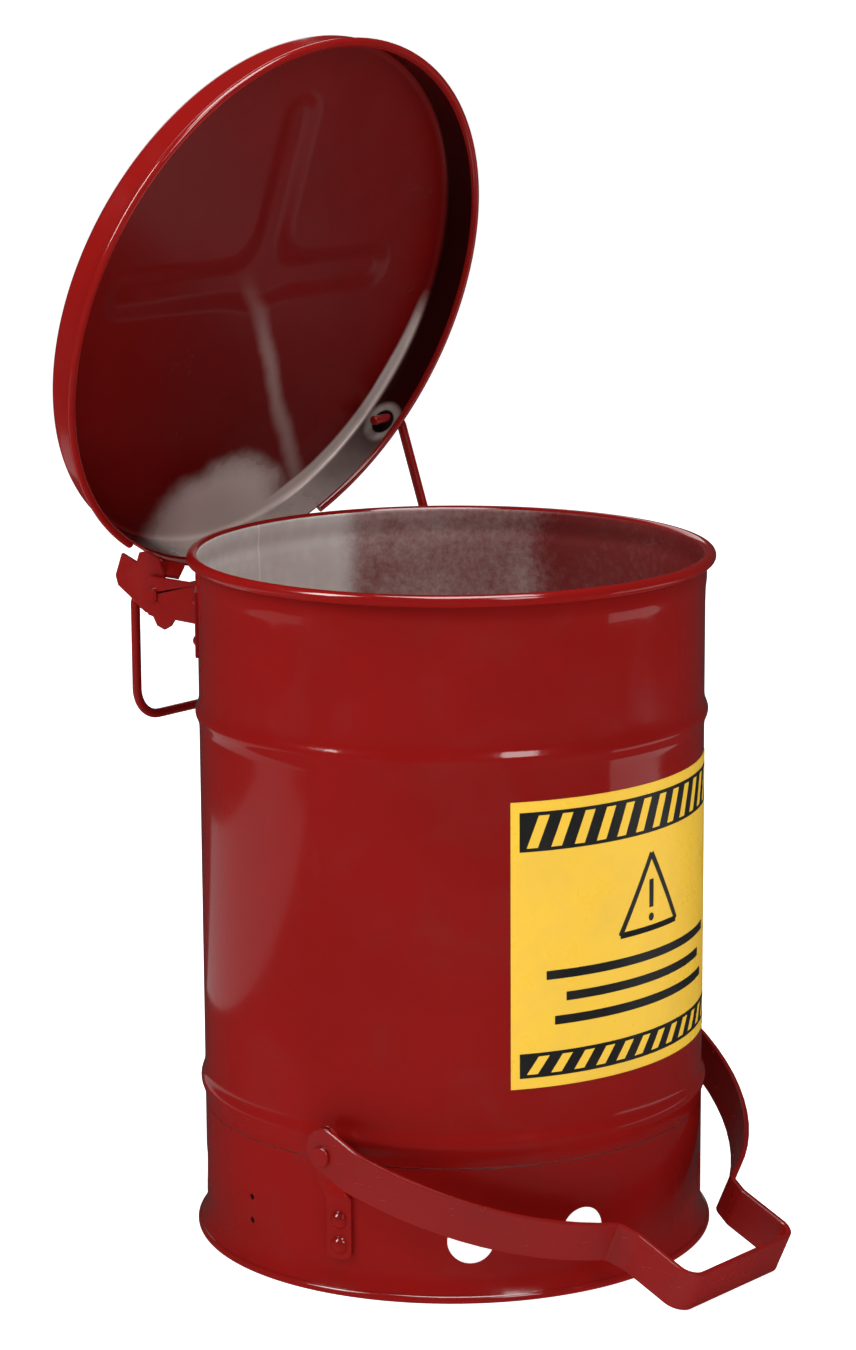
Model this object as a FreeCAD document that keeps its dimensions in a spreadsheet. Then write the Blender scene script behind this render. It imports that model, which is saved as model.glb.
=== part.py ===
# Foot-operated oily-waste can: a round steel can on a vented base, a hinged lid, a pedal strap
# that runs round the front, and a lift rod that joins the pedal to the lid.
# Millimetres. +Z is up, -Y is the front (pedal side), +Y is the hinge side, +X carries the lift rod.
# The origin is the centre of the base, on the floor. The lid is stored open and the pedal pressed.
import FreeCAD, Part
import math
import os
import Sketcher
from FreeCAD import Placement, Rotation, Vector

doc = FreeCAD.newDocument("waste_can")
X_AXIS = Vector(1, 0, 0)
Z_AXIS = Vector(0, 0, 1)

# ---------------------------------------------------------------- driving dimensions
DIMENSIONS = [
    ("sheet_thick", 1.0, "steel sheet of the can and the lid"),
    ("body_radius", 144.8, "outside of the can wall"),
    ("rim_outer", 150.8, "outside of the rolled rim"),
    ("rim_roll", 3.4, "radius of the rolled rim"),
    ("rim_top", 398.6, "height of the rim"),
    ("seam_height", 77.0, "joint between the wall and the base skirt"),
    ("seam_gap", 0.6, "open line at that joint"),
    ("upper_bead_height", 306.6, "centre of the upper bead"),
    ("upper_bead_rise", 2.2, "how far it stands out"),
    ("upper_bead_arc", 10.0, "radius of its section"),
    ("lower_bead_height", 89.5, "centre of the lower bead"),
    ("lower_bead_rise", 2.4, "how far it stands out"),
    ("lower_bead_arc", 13.6, "radius of its section"),
    ("neck_bead_height", 384.0, "faint bead under the rim"),
    ("neck_bead_rise", 0.9, "how far it stands out"),
    ("neck_bead_arc", 8.0, "radius of its section"),
    ("hem_outer", 150.3, "outside of the hem on the floor"),
    ("hem_roll", 2.4, "radius of that hem"),
    ("hem_flat", 0.2, "how far the hem is pressed flat on the floor"),
    ("flare_top", 15.0, "where the skirt starts to flare"),
    ("flare_radius", 148.4, "outside of the flare just above the hem"),
    ("vent_radius", 13.0, "round air holes in the skirt"),
    ("vent_height", 34.8, "centre of the air holes"),
    ("spare_hole_radius", 2.0, "two unused rivet holes"),
    ("spare_hole_angle", 101.7, "their bearing from the front, towards -X"),
    ("spare_hole_low", 28.0, "height of the lower one"),
    ("spare_hole_high", 41.8, "height of the upper one"),
    ("pan_height", 74.0, "underside of the raised bottom"),
    ("pan_flange_low", 66.0, "bottom edge of its flange"),
    ("pan_flange_high", 86.0, "top edge of its flange"),
    ("label_low", 121.0, "bottom edge of the label"),
    ("label_high", 283.0, "top edge of the label"),
    ("label_span", 74.0, "angle that the label covers"),
    ("label_thick", 0.3, "label film"),
    ("hinge_back", 168.0, "hinge rod behind the can axis"),
    ("hinge_height", 362.0, "hinge rod above the floor"),
    ("hinge_rod_radius", 3.1, "hinge rod"),
    ("hinge_rod_half", 74.1, "half its length"),
    ("rod_fit", 0.06, "radial play of a piece that turns on a pin"),
    ("saddle_thick", 1.6, "band behind the can that carries the hinge"),
    ("saddle_low", 338.0, "its bottom edge"),
    ("saddle_high", 376.0, "its top edge"),
    ("saddle_span", 93.0, "angle that it covers"),
    ("cheek_inner", 70.6, "inside face of each hinge cheek from the middle"),
    ("cheek_thick", 2.0, "hinge cheek plate"),
    ("lug_inner", 57.5, "inside face of each handle lug from the middle"),
    ("lug_thick", 2.2, "handle lug plate"),
    ("handle_back", 190.0, "pivot line of the carry handle behind the can axis"),
    ("handle_height", 357.0, "pivot line of the carry handle"),
    ("handle_half", 64.4, "half width of the handle between wire centres"),
    ("handle_drop", 73.0, "pivot line down to the grip"),
    ("handle_wire", 2.75, "radius of the handle wire"),
    ("handle_bend", 18.0, "bend radius at the grip"),
    ("lid_angle", 70.8, "how far the lid stands open"),
    ("lid_top", 401.4, "top of the lid when shut"),
    ("lid_lip", 379.4, "centre of the lid hem when shut"),
    ("lid_radius", 161.0, "outside of the lid at its top edge"),
    ("lid_flare", 0.9, "how much wider the flange is at the lip"),
    ("lid_corner", 5.0, "outside corner radius of the lid"),
    ("lid_hem_outer", 166.3, "outside of the lid hem"),
    ("lid_hem_roll", 2.4, "radius of the lid hem"),
    ("lid_hem_sweep", 300.0, "the hem stops at the hinge"),
    ("rib_width", 25.0, "pressed ribs in the lid"),
    ("rib_rise", 2.4, "how far the ribs stand up"),
    ("rib_front", 121.0, "tip of the front rib from the lid centre"),
    ("rib_side", 124.0, "tip of the side ribs from the lid centre"),
    ("ear_inner", 68.0, "inside face of each lid ear from the middle"),
    ("ear_thick", 2.0, "lid ear plate"),
    ("band_thick", 1.6, "hinge band on the lid flange"),
    ("band_low", 371.5, "its bottom edge when shut"),
    ("band_high", 396.0, "its top edge when shut"),
    ("pivot_front", 38.0, "pedal pivot in front of the can axis"),
    ("pivot_height", 84.0, "pedal pivot above the floor"),
    ("pivot_radius", 3.1, "pedal pivot pin"),
    ("pedal_tilt", 23.9, "how far the pedal is pressed"),
    ("strap_width", 25.4, "pedal strap, on edge"),
    ("strap_thick", 3.0, "pedal strap"),
    ("strap_lift", 3.5, "strap centre line above the pivot"),
    ("strap_side", 155.0, "strap centre from the middle at the pivot"),
    ("knee_ahead", 22.0, "where the arms leave the straight, in front of the pivot"),
    ("knee_bend", 30.0, "bend radius there"),
    ("shoulder_half", 127.2, "corner of the curved arm from the middle"),
    ("shoulder_ahead", 103.6, "that corner in front of the pivot"),
    ("shoulder_bend", 165.0, "radius of the curved arm"),
    ("fold_half", 52.0, "fold between arm and foot loop from the middle"),
    ("fold_ahead", 131.0, "that fold in front of the pivot"),
    ("fold_bend", 5.0, "bend radius of the fold"),
    ("root_bend", 8.0, "bend radius where the loop starts"),
    ("foot_half", 48.0, "half width of the foot loop"),
    ("foot_root", 143.0, "start of the foot loop in front of the pivot"),
    ("foot_reach", 183.3, "front bar in front of the pivot"),
    ("foot_bend", 10.0, "corner radius of the foot loop"),
    ("slot_radius", 5.2, "half width of the slot in the far arm"),
    ("slot_tail_along", 1.6, "slot end behind the rod, pedal pressed"),
    ("slot_tail_up", 1.2, "slot end above the rod, pedal pressed"),
    ("slot_head_along", -10.7, "other slot end, towards the pivot"),
    ("slot_head_up", 9.6, "other slot end, above the rod"),
    ("bracket_angle", 75.4, "bearing of the pedal brackets from the front"),
    ("bracket_width", 15.0, "pedal bracket"),
    ("bracket_thick", 2.4, "pedal bracket"),
    ("bracket_low", 20.5, "foot of the pedal bracket"),
    ("bracket_out", 150.4, "inside face of the bracket at the pivot"),
    ("rivet_radius", 5.3, "rivet head"),
    ("rivet_low", 28.5, "lower bracket rivet"),
    ("rivet_high", 43.1, "upper bracket rivet"),
    ("rod_wire", 2.9, "radius of the lift rod"),
    ("rod_lid_back", 90.5, "lid end of the lift rod behind the can axis, lid shut"),
    ("rod_lid_height", 386.5, "its height, lid shut"),
    ("rod_lid_out", 145.6, "lift rod from the middle at the lid"),
    ("rod_lid_tip", 121.5, "inner tip of the rod's lid end"),
    ("rod_foot_out", 162.6, "lift rod from the middle at the pedal"),
    ("rod_foot_tip", 148.5, "inner tip of the rod's pedal end"),
    ("rod_foot_arm", 118.8, "pedal end of the rod behind the pedal pivot"),
    ("rod_foot_rise", -2.6, "pedal end of the rod above the pivot line"),
    ("rod_bend", 7.0, "bend radius of the lift rod at the lid"),
    ("rod_foot_bend", 5.6, "bend radius of the lift rod at the pedal"),
]

sheet = doc.addObject("Spreadsheet::Sheet", "dims")
for row, (alias, value, note) in enumerate(DIMENSIONS, start=1):
    sheet.set("A%d" % row, alias)
    sheet.set("B%d" % row, str(value))
    sheet.set("C%d" % row, note)
    sheet.setAlias("B%d" % row, alias)
doc.recompute()

parts = []


def size(alias):
    """Value of one driving dimension."""
    return float(sheet.get(alias))


def bind(obj, **expressions):
    """Tie properties of an object to formulas of the sheet."""
    for prop, formula in expressions.items():
        obj.setExpression(prop.replace("__", "."), formula)


def keep(obj, label):
    """Mark an object as one finished sub-part."""
    obj.Label = label
    parts.append(obj)
    return obj


# ---------------------------------------------------------------- building blocks
def cylinder(name, radius, height, low="0"):
    obj = doc.addObject("Part::Cylinder", name)
    bind(obj, Radius=radius, Height=height, Placement__Base__z=low)
    return obj


def cone(name, low_radius, high_radius, height, low):
    obj = doc.addObject("Part::Cone", name)
    bind(obj, Radius1=low_radius, Radius2=high_radius, Height=height, Placement__Base__z=low)
    return obj


def ring(name, centre_radius, section_radius, height):
    obj = doc.addObject("Part::Torus", name)
    bind(obj, Radius1=centre_radius, Radius2=section_radius, Placement__Base__z=height)
    return obj


def fuse(name, members):
    obj = doc.addObject("Part::MultiFuse", name)
    obj.Shapes = members
    return obj


def cut(name, base, tool):
    obj = doc.addObject("Part::Cut", name)
    obj.Base = base
    obj.Tool = tool
    return obj


def set_shape(name, label, shape, placement=None):
    """Sub-part whose solid is made with Part's own functions from the sheet's sizes."""
    obj = doc.addObject("Part::Feature", name)
    obj.Shape = shape
    if placement:
        obj.Placement = placement
    return keep(obj, label)


def radial_hole(name, radius, bearing, height):
    """Cylinder that drills the skirt from outside. The bearing is from the front towards +X."""
    obj = doc.addObject("Part::Cylinder", name)
    bind(obj, Radius=radius, Height="30")
    turn = math.radians(bearing)
    outward = Vector(math.sin(turn), -math.cos(turn), 0)
    start = outward * (size("body_radius") - 15)
    obj.Placement = Placement(start, Rotation(Z_AXIS, outward))
    bind(obj, Placement__Base__z=height)
    return obj


def curved_band(name, inner, thick, low, high, span, middle):
    """Sheet that follows a cylinder: span degrees wide, centred on the bearing 'middle'."""
    outside = cylinder(name + "_outside", "%s + %s" % (inner, thick), "%s - %s" % (high, low), low)
    inside = cylinder(name + "_inside", inner, "%s - %s + 2" % (high, low), "%s - 1" % low)
    bind(outside, Angle=span)
    doc.recompute()
    degrees = float(outside.Angle)
    outside.Placement.Rotation = Rotation(Z_AXIS, middle - degrees / 2)
    return cut(name, outside, inside)


def plate(name, outline, holes, inner, thick, side):
    """Flat plate square to X, drawn by its (y, z) outline. side is +1 for +X and -1 for -X."""
    body = doc.addObject("PartDesign::Body", name)
    sketch = body.newObject("Sketcher::SketchObject", name + "_outline")
    origin_plane = [f for f in body.Origin.OriginFeatures if f.Role == "YZ_Plane"][0]
    sketch.AttachmentSupport = [(origin_plane, "")]
    sketch.MapMode = "FlatFace"
    corners = [Vector(y, z, 0) for y, z in outline]
    for start, end in zip(corners, corners[1:] + corners[:1]):
        sketch.addGeometry(Part.LineSegment(start, end))
    for index in range(len(corners)):
        following = (index + 1) % len(corners)
        sketch.addConstraint(Sketcher.Constraint("Coincident", index, 2, following, 1))
    for y_formula, z_formula, radius_formula in holes:
        circle = sketch.addGeometry(Part.Circle(Vector(0, 0, 0), Z_AXIS, 3))
        for kind, formula in (("DistanceX", y_formula), ("DistanceY", z_formula)):
            spot = sketch.addConstraint(Sketcher.Constraint(kind, -1, 1, circle, 3, 100.0))
            sketch.setExpression("Constraints[%d]" % spot, formula)
        spot = sketch.addConstraint(Sketcher.Constraint("Radius", circle, 3.0))
        sketch.setExpression("Constraints[%d]" % spot, radius_formula)
    pad = body.newObject("PartDesign::Pad", name + "_pad")
    pad.Profile = sketch
    bind(pad, Length=thick)
    pad.Reversed = side < 0
    body.Placement = Placement(Vector(side * size(inner), 0, 0), Rotation())
    return body


def dome(centre, outward, radius, rise):
    """Rivet head: a cap of a ball standing on a surface."""
    ball_radius = (radius ** 2 + rise ** 2) / (2 * rise)
    ball = Part.makeSphere(ball_radius, centre - outward * (ball_radius - rise))
    slab = Part.makeCylinder(radius + 1, rise + 1, centre, outward)
    return ball.common(slab)


def wire_path(points, bends):
    """Run of straight wire with a tangent arc at each inner point."""
    edges = []
    start = points[0]
    for before, corner, after, bend in zip(points, points[1:], points[2:], bends):
        inward = (before - corner).normalize()
        onward = (after - corner).normalize()
        half = inward.getAngle(onward) / 2
        reach = bend / math.tan(half)
        arc_start = corner + inward * reach
        arc_end = corner + onward * reach
        bisector = (inward + onward).normalize()
        arc_middle = corner + bisector * (bend / math.sin(half) - bend)
        edges.append(Part.makeLine(start, arc_start))
        edges.append(Part.Arc(arc_start, arc_middle, arc_end).toShape())
        start = arc_end
    edges.append(Part.makeLine(start, points[-1]))
    return Part.Wire(edges)


def bent_wire(points, bends, radius):
    """Round wire swept along a bent path."""
    path = wire_path(points, bends)
    first = (points[1] - points[0]).normalize()
    section = Part.Wire([Part.makeCircle(radius, points[0], first)])
    return path.makePipeShell([section], True, True)


def radial_point(bearing, radius, height):
    """Point at a bearing from the front (towards +X)."""
    turn = math.radians(bearing)
    return Vector(radius * math.sin(turn), -radius * math.cos(turn), height)


LID_OPEN = Placement(
    Vector(0, 0, 0),
    Rotation(X_AXIS, -size("lid_angle")),
    Vector(0, size("hinge_back"), size("hinge_height")),
)
PEDAL_DOWN = Placement(
    Vector(0, 0, 0),
    Rotation(X_AXIS, size("pedal_tilt")),
    Vector(0, -size("pivot_front"), size("pivot_height")),
)


# ---------------------------------------------------------------- can wall with rolled rim and beads
def make_body_shell():
    outside = [
        cylinder("wall_outside", "dims.body_radius",
                 "dims.rim_top - dims.rim_roll - dims.seam_height", "dims.seam_height"),
        ring("rim_tube", "dims.rim_outer - dims.rim_roll", "dims.rim_roll",
             "dims.rim_top - dims.rim_roll"),
    ]
    inside = [cylinder("wall_inside", "dims.body_radius - dims.sheet_thick", "500")]
    for bead in ("upper_bead", "lower_bead", "neck_bead"):
        centre = "dims.body_radius + dims.%s_rise - dims.%s_arc" % (bead, bead)
        height = "dims.%s_height" % bead
        outside.append(ring(bead + "_crest", centre, "dims.%s_arc" % bead, height))
        inside.append(ring(bead + "_hollow", centre, "dims.%s_arc - dims.sheet_thick" % bead, height))
    shell = cut("body_shell", fuse("wall_solid", outside), fuse("wall_space", inside))
    return keep(shell, "body_shell")


# ---------------------------------------------------------------- vented skirt with flared hem
VENT_BEARINGS = (-135.0, -45.9, -19.8, 31.0, 75.0, 120.0, 165.0)


def make_base_skirt():
    height = "dims.flare_top - dims.hem_roll"
    outside = [
        cylinder("skirt_outside", "dims.body_radius",
                 "dims.seam_height - dims.seam_gap - dims.hem_roll", "dims.hem_roll"),
        cone("flare_outside", "dims.flare_radius", "dims.body_radius", height, "dims.hem_roll"),
        ring("hem_tube", "dims.hem_outer - dims.hem_roll", "dims.hem_roll",
             "dims.hem_roll - dims.hem_flat"),
    ]
    inside = [
        cylinder("skirt_inside", "dims.body_radius - dims.sheet_thick", "200", "-50"),
        cone("flare_inside", "dims.flare_radius - dims.sheet_thick",
             "dims.body_radius - dims.sheet_thick", height, "dims.hem_roll"),
        cylinder("below_floor", "300", "10", "-10"),
    ]
    holes = []
    for index, bearing in enumerate(VENT_BEARINGS):
        holes.append(radial_hole("vent_%d" % index, "dims.vent_radius", bearing, "dims.vent_height"))
    for level in ("low", "high"):
        holes.append(radial_hole("spare_hole_" + level, "dims.spare_hole_radius",
                                 -size("spare_hole_angle"), "dims.spare_hole_" + level))
    skirt = cut("base_skirt", fuse("skirt_solid", outside), fuse("skirt_space", inside + holes))
    return keep(skirt, "base_skirt")


# ---------------------------------------------------------------- raised bottom
def make_bottom_pan():
    disc = cylinder("pan_disc", "dims.body_radius - dims.sheet_thick",
                    "dims.pan_flange_high - dims.pan_flange_low", "dims.pan_flange_low")
    inner = "dims.body_radius - 2 * dims.sheet_thick"
    below = cylinder("pan_below", inner, "dims.pan_height - dims.pan_flange_low + 10",
                     "dims.pan_flange_low - 10")
    above = cylinder("pan_above", inner, "30", "dims.pan_height + dims.sheet_thick")
    return keep(cut("bottom_pan", disc, fuse("pan_space", [below, above])), "bottom_pan")


def make_label():
    label = curved_band("label_panel", "dims.body_radius", "dims.label_thick", "dims.label_low",
                        "dims.label_high", "dims.label_span", -90)
    return keep(label, "label_panel")


# ---------------------------------------------------------------- hinge carrier behind the can
def make_hinge_carrier():
    saddle = curved_band("hinge_saddle", "dims.body_radius", "dims.saddle_thick", "dims.saddle_low",
                         "dims.saddle_high", "dims.saddle_span", 90)
    keep(saddle, "hinge_saddle")
    back = size("body_radius") + size("saddle_thick")
    for side, word in ((-1, "near"), (1, "far")):
        root = math.sqrt(back ** 2 - size("cheek_inner") ** 2) + 0.1
        outline = [(root, 372.8), (170.0, 372.9), (174.4, 369.0), (171.6, 349.6), (167.5, 349.0),
                   (164.5, 344.0), (158.5, 342.2), (153.5, 345.0), (150.5, 349.0), (root, 348.6)]
        hinge_hole = ("dims.hinge_back", "dims.hinge_height", "dims.hinge_rod_radius + 0.02")
        cheek = plate("cheek_" + word, outline, [hinge_hole], "cheek_inner", "dims.cheek_thick", side)
        keep(cheek, "hinge_cheek_" + word)
        root = math.sqrt(back ** 2 - size("lug_inner") ** 2) + 0.1
        outline = [(root, 367.0), (171.5, 367.0), (190.0, 364.5), (195.5, 362.5), (198.0, 357.0),
                   (195.5, 351.5), (190.0, 349.0), (root, 345.5)]
        swing_hole = ("dims.handle_back", "dims.handle_height", "dims.handle_wire + dims.rod_fit")
        lug = plate("lug_" + word, outline, [hinge_hole, swing_hole], "lug_inner", "dims.lug_thick", side)
        keep(lug, "handle_lug_" + word)


def make_hinge_rod():
    rod = doc.addObject("Part::Cylinder", "hinge_rod")
    bind(rod, Radius="dims.hinge_rod_radius", Height="2 * dims.hinge_rod_half")
    rod.Placement = Placement(Vector(0, 0, 0), Rotation(Z_AXIS, X_AXIS))
    bind(rod, Placement__Base__x="-dims.hinge_rod_half", Placement__Base__y="dims.hinge_back",
         Placement__Base__z="dims.hinge_height")
    keep(rod, "hinge_rod")
    outer_face = size("cheek_inner") + size("cheek_thick")
    caps = []
    for side in (-1, 1):
        start = Vector(side * outer_face, size("hinge_back"), size("hinge_height"))
        washer = Part.makeCylinder(4.6, 1.2, start, X_AXIS * side)
        bore = Part.makeCylinder(size("hinge_rod_radius") + 0.01, 2.6, start, X_AXIS * side)
        caps.append(washer.cut(bore))
    set_shape("rod_caps", "hinge_rod_caps", Part.makeCompound(caps))


def make_saddle_rivets():
    heads = []
    surface = size("body_radius") + size("saddle_thick")
    for bearing in (-139.0, -165.0, 165.0, 139.0):
        for height in (345.5, 369.0):
            spot = radial_point(bearing, surface, height)
            outward = radial_point(bearing, 1, 0)
            heads.append(dome(spot - outward * 0.3, outward, 3.2, 1.8))
    band = saddle_solid()
    heads = [head.cut(band) for head in heads]
    set_shape("saddle_rivets", "saddle_rivets", Part.makeCompound(heads))


def saddle_solid():
    """Plain drum behind the rivet heads, so that each head sits on the curve."""
    height = size("saddle_high") - size("saddle_low")
    radius = size("body_radius") + size("saddle_thick")
    return Part.makeCylinder(radius, height, Vector(0, 0, size("saddle_low")))


# ---------------------------------------------------------------- lid
def rib_prisms(width_trim, low, height):
    """Three round-ended bars, front and both sides, joined at a hub."""
    width = size("rib_width") - width_trim
    bars = []
    for direction, reach in ((Vector(0, -1, 0), size("rib_front")),
                             (Vector(-1, 0, 0), size("rib_side")),
                             (Vector(1, 0, 0), size("rib_side") - 12)):
        centre_tip = direction * (reach - size("rib_width") / 2)
        across = Vector(-direction.y, direction.x, 0)
        start = Vector(0, 0, low) - across * (width / 2)
        box = Part.makePolygon([start, start + centre_tip, start + centre_tip + across * width,
                                start + across * width, start])
        bar = Part.Face(box).extrude(Vector(0, 0, height))
        cap = Part.makeCylinder(width / 2, height, centre_tip + Vector(0, 0, low))
        bars.append(bar.fuse(cap))
    hub = Part.makeCylinder(width * 0.78, height, Vector(0, 0, low))
    solid = hub.multiFuse(bars).removeSplitter()
    solid.translate(Vector(0, -6, 0))
    return solid


def make_lid():
    thick = size("sheet_thick")
    top = size("lid_top")
    lip = size("lid_lip")
    radius = size("lid_radius")
    flare = size("lid_flare")
    corner = size("lid_corner")
    outside = Part.makeCone(radius + flare, radius, top - lip, Vector(0, 0, lip))
    rim_edges = [e for e in outside.Edges if e.BoundBox.ZMin > top - 0.01 and e.Length > radius]
    outside = outside.makeFillet(corner, rim_edges)
    inside = Part.makeCone(radius + flare - thick, radius - thick, top - thick - lip, Vector(0, 0, lip))
    rim_edges = [e for e in inside.Edges if e.BoundBox.ZMin > top - thick - 0.01 and e.Length > radius]
    inside = inside.makeFillet(corner - thick, rim_edges)
    ribs = rib_prisms(0.0, top - thick - 0.01, size("rib_rise") + thick)
    grooves = rib_prisms(2 * thick, top - thick - 1, size("rib_rise") + 1)
    hem = Part.makeTorus(size("lid_hem_outer") - size("lid_hem_roll"), size("lid_hem_roll"),
                         Vector(0, 0, lip), Z_AXIS, -180, 180, size("lid_hem_sweep"))
    hem.rotate(Vector(0, 0, 0), Z_AXIS, -90 - size("lid_hem_sweep") / 2)
    rod_hole = Part.makeCylinder(size("rod_wire") + size("rod_fit"), 60,
                                 Vector(110, size("rod_lid_back"), size("rod_lid_height")), X_AXIS)
    cover = outside.fuse(ribs).cut(inside).cut(grooves).fuse(hem).cut(rod_hole).removeSplitter()
    set_shape("lid_cover", "lid_cover", cover, LID_OPEN)


def make_lid_hinge():
    inner = "dims.lid_radius + dims.lid_flare"
    outer_radius = size("lid_radius") + size("lid_flare") + size("band_thick")
    half = math.degrees(math.asin((size("ear_inner") - 0.05) / outer_radius))
    sheet.set("B%d" % (len(DIMENSIONS) + 1), str(2 * half))
    sheet.setAlias("B%d" % (len(DIMENSIONS) + 1), "band_span")
    doc.recompute()
    band = curved_band("lid_band", inner, "dims.band_thick", "dims.band_low", "dims.band_high",
                       "dims.band_span", 90)
    band.Placement = LID_OPEN
    keep(band, "lid_hinge_band")
    outline = [(147.0, 366.0), (147.2, 377.0), (150.0, 381.5), (156.7, 381.8), (156.7, 394.6),
               (171.7, 395.3), (176.5, 391.5), (178.5, 381.0), (182.0, 366.5), (180.5, 357.0),
               (174.5, 352.5), (166.5, 351.8), (159.0, 356.0)]
    for side, word in ((-1, "near"), (1, "far")):
        hole = ("dims.hinge_back", "dims.hinge_height", "dims.hinge_rod_radius + dims.rod_fit")
        ear = plate("ear_" + word, outline, [hole], "ear_inner", "dims.ear_thick", side)
        ear.Placement = LID_OPEN.multiply(ear.Placement)
        keep(ear, "lid_ear_" + word)
        fold = [(side * 67.9, 372.4), (side * 62.6, 379.2), (side * 62.6, 380.9), (side * 67.9, 374.4)]
        corners = [Vector(x, 150.5, z) for x, z in fold]
        flap = Part.Face(Part.makePolygon(corners + corners[:1])).extrude(Vector(0, 20, 0))
        set_shape("flap_" + word, "ear_flap_" + word, flap)


def make_band_rivets():
    heads = []
    surface = size("lid_radius") + size("lid_flare") + size("band_thick")
    drum = Part.makeCylinder(surface, 60, Vector(0, 0, 350))
    for bearing in (-162.0, -174.0, 174.0, 162.0):
        spot = radial_point(bearing, surface, 387.0)
        outward = radial_point(bearing, 1, 0)
        heads.append(dome(spot - outward * 0.3, outward, 3.2, 1.8).cut(drum))
    set_shape("band_rivets", "band_rivets", Part.makeCompound(heads), LID_OPEN)


# ---------------------------------------------------------------- carry handle
def make_handle():
    back = size("handle_back")
    pivot = size("handle_height")
    grip = pivot - size("handle_drop")
    half = size("handle_half")
    tip = size("lug_inner") - 2.5
    points = [Vector(-tip, back, pivot), Vector(-half, back, pivot), Vector(-half, back, grip),
              Vector(half, back, grip), Vector(half, back, pivot), Vector(tip, back, pivot)]
    bend = size("handle_bend")
    shape = bent_wire(points, [4.2, bend, bend, 4.2], size("handle_wire"))
    set_shape("carry_handle", "carry_handle", shape)


# ---------------------------------------------------------------- pedal brackets and pivots
def make_brackets():
    low = size("bracket_low")
    width = size("bracket_width")
    thick = size("bracket_thick")
    out = size("bracket_out")
    skin = size("body_radius")
    front = size("pivot_front")
    pivot = size("pivot_height")
    foot_half = math.degrees(width / 2 / skin)
    for side, word in ((-1, "near"), (1, "far")):
        middle = side * size("bracket_angle")
        outer = Part.makeCylinder(skin + thick, 36.0, Vector(0, 0, low), Z_AXIS, 2 * foot_half)
        inner = Part.makeCylinder(skin + 0.02, 60.0, Vector(0, 0, low - 5))
        foot = outer.cut(inner)
        foot.rotate(Vector(0, 0, 0), Z_AXIS, middle - 90 - foot_half)
        upright = Part.makeBox(thick, width, 24.0, Vector(0, -front - width / 2, pivot - 15.0))
        upright.translate(Vector(out if side > 0 else -out - thick, 0, 0))
        top_round = Part.makeCylinder(width / 2, thick, Vector(0, -front, pivot + 9.0), X_AXIS)
        top_round.translate(Vector(out if side > 0 else -out - thick, 0, 0))
        lower_edge = []
        for radius, sweep in ((skin + 0.2, -foot_half), (skin + thick, -foot_half),
                              (skin + thick, foot_half), (skin + 0.2, foot_half)):
            lower_edge.append(radial_point(middle + side * sweep, radius, low + 35.0))
        upper_edge = [Vector(side * (out + step), -front + shift, pivot - 14.0)
                      for step, shift in ((0, -width / 2), (thick, -width / 2),
                                          (thick, width / 2), (0, width / 2))]
        shoulder = Part.makeLoft([Part.makePolygon(lower_edge + lower_edge[:1]),
                                  Part.makePolygon(upper_edge + upper_edge[:1])], True, True)
        bore = Part.makeCylinder(size("pivot_radius") + 0.02, 40.0, Vector(side * 130, -front, pivot),
                                 X_AXIS * side)
        bracket = foot.multiFuse([shoulder, upright, top_round]).cut(bore).removeSplitter()
        facing = radial_point(middle, 1, 0)
        along = Z_AXIS.cross(facing)
        round_r = 5.0
        for way in (-1, 1):
            centre = facing * (skin - 4) + along * way * (width / 2 - round_r) + Z_AXIS * (low + round_r)
            far_side = along * way * (round_r + 1)
            below = Z_AXIS * -(round_r + 1)
            square = Part.makePolygon([centre, centre + far_side, centre + far_side + below,
                                       centre + below, centre])
            block = Part.Face(square).extrude(facing * 14)
            bracket = bracket.cut(block.cut(Part.makeCylinder(round_r, 14, centre, facing)))
        set_shape("bracket_" + word, "pedal_bracket_" + word, bracket)
        heads = []
        for height in (size("rivet_low"), size("rivet_high")):
            outward = radial_point(middle, 1, 0)
            spot = radial_point(middle, skin + thick, height)
            head = dome(spot - outward * 0.2, outward, size("rivet_radius"), 3.3)
            heads.append(head.cut(Part.makeCylinder(skin + thick, 80.0)))
        set_shape("rivets_" + word, "bracket_rivets_" + word, Part.makeCompound(heads))
        pin_start = side * (out - 3.0)
        strap_face = size("strap_side") + size("strap_thick") / 2
        pin = Part.makeCylinder(size("pivot_radius"), strap_face + 0.3 - (out - 3.0),
                                Vector(pin_start, -front, pivot), X_AXIS * side)
        head = Part.makeCylinder(5.6, 1.8, Vector(side * (strap_face + 0.3), -front, pivot), X_AXIS * side)
        rim = [e for e in head.Edges if abs(e.BoundBox.XMax) > strap_face + 2.0
               and e.BoundBox.XLength < 0.01 and e.Length > 20]
        if rim:
            head = head.makeFillet(0.9, rim)
        set_shape("pin_" + word, "pivot_pin_" + word, pin.fuse(head).removeSplitter())
        nut = Part.makeCylinder(5.5, 1.4, Vector(side * (out - 1.4), -front, pivot), X_AXIS * side)
        nut = nut.cut(bore.copy())
        set_shape("pin_nut_" + word, "pivot_nut_" + word, nut)


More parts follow.
